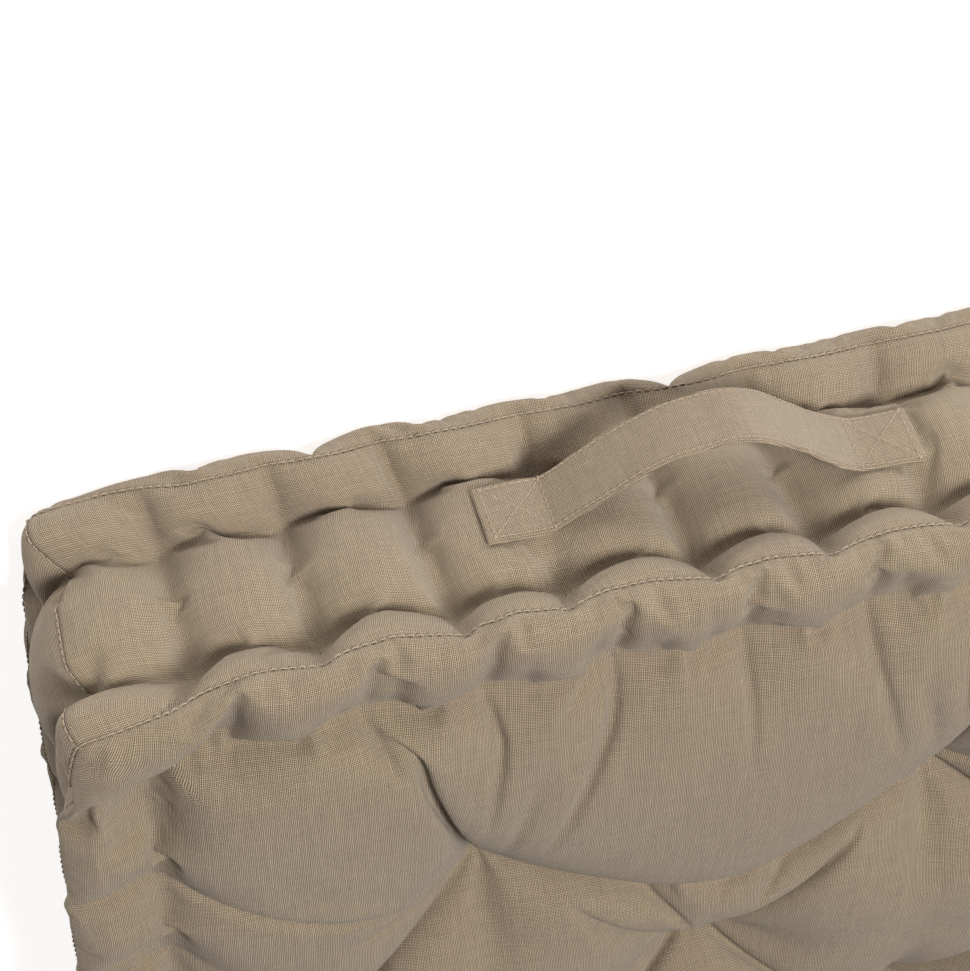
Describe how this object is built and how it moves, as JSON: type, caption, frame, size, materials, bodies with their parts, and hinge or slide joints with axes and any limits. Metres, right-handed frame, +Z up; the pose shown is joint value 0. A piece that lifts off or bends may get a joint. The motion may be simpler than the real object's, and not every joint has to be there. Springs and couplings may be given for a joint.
{
  "type": "tufted floor cushion",
  "caption": "Square tufted box cushion with boxed sides, hand-stitched rolled edges round both faces and an arched carry strap sewn to the front boxing.",
  "frame": {"origin": "under the middle of the whole box, handle included, on the surface the cushion lies on", "axes": "+Z up through the cushion's thickness, -Y out of the side with the carry handle, +X to the right when looking along +Y"},
  "size_m": [0.6, 0.638, 0.148],
  "materials": {
    "cover_canvas": "plain-weave cotton and linen canvas, taupe beige, matt",
    "sewing_thread": "spun sewing thread, a shade darker than the canvas",
    "tufting_cord": "twisted waxed tufting cord, taupe",
    "cotton_wadding": "raw cotton wadding",
    "jute_twine": "jute roll-stitching twine",
    "fibre_filling": "teased fibre filling"
  },
  "bodies": {
    "cushion": {"top_panel": "cover_canvas", "bottom_panel": "cover_canvas", "boxing_front": "cover_canvas", "boxing_back": "cover_canvas", "boxing_left": "cover_canvas", "boxing_right": "cover_canvas", "handle_end_left": "cover_canvas", "handle_end_right": "cover_canvas", "top_seam_thread": "sewing_thread", "bottom_seam_thread": "sewing_thread", "corner_seam_thread_1": "sewing_thread", "corner_seam_thread_2": "sewing_thread", "corner_seam_thread_3": "sewing_thread", "corner_seam_thread_4": "sewing_thread", "handle_stitch_left": "sewing_thread", "handle_stitch_right": "sewing_thread", "tuft_tie_1": "tufting_cord", "tuft_tie_2": "tufting_cord", "tuft_tie_3": "tufting_cord", "tuft_tie_4": "tufting_cord", "tuft_tie_5": "tufting_cord", "tuft_tie_6": "tufting_cord", "tuft_tie_7": "tufting_cord", "top_roll_wadding": "cotton_wadding", "bottom_roll_wadding": "cotton_wadding", "top_roll_twine": "jute_twine", "bottom_roll_twine": "jute_twine", "core_filling": "fibre_filling"},
    "handle": {"handle_strap": "cover_canvas", "strap_topstitch_upper": "sewing_thread", "strap_topstitch_lower": "sewing_thread"}
  },
  "joints": [
    {"name": "handle_swing", "type": "hinge", "parent": "cushion", "child": "handle", "pos_m": [0, -0.2798, 0.068], "axis": [-1, 0, 0], "range_deg": [-50, 50], "stiffness_Nm_per_rad": 0.05}
  ]
}
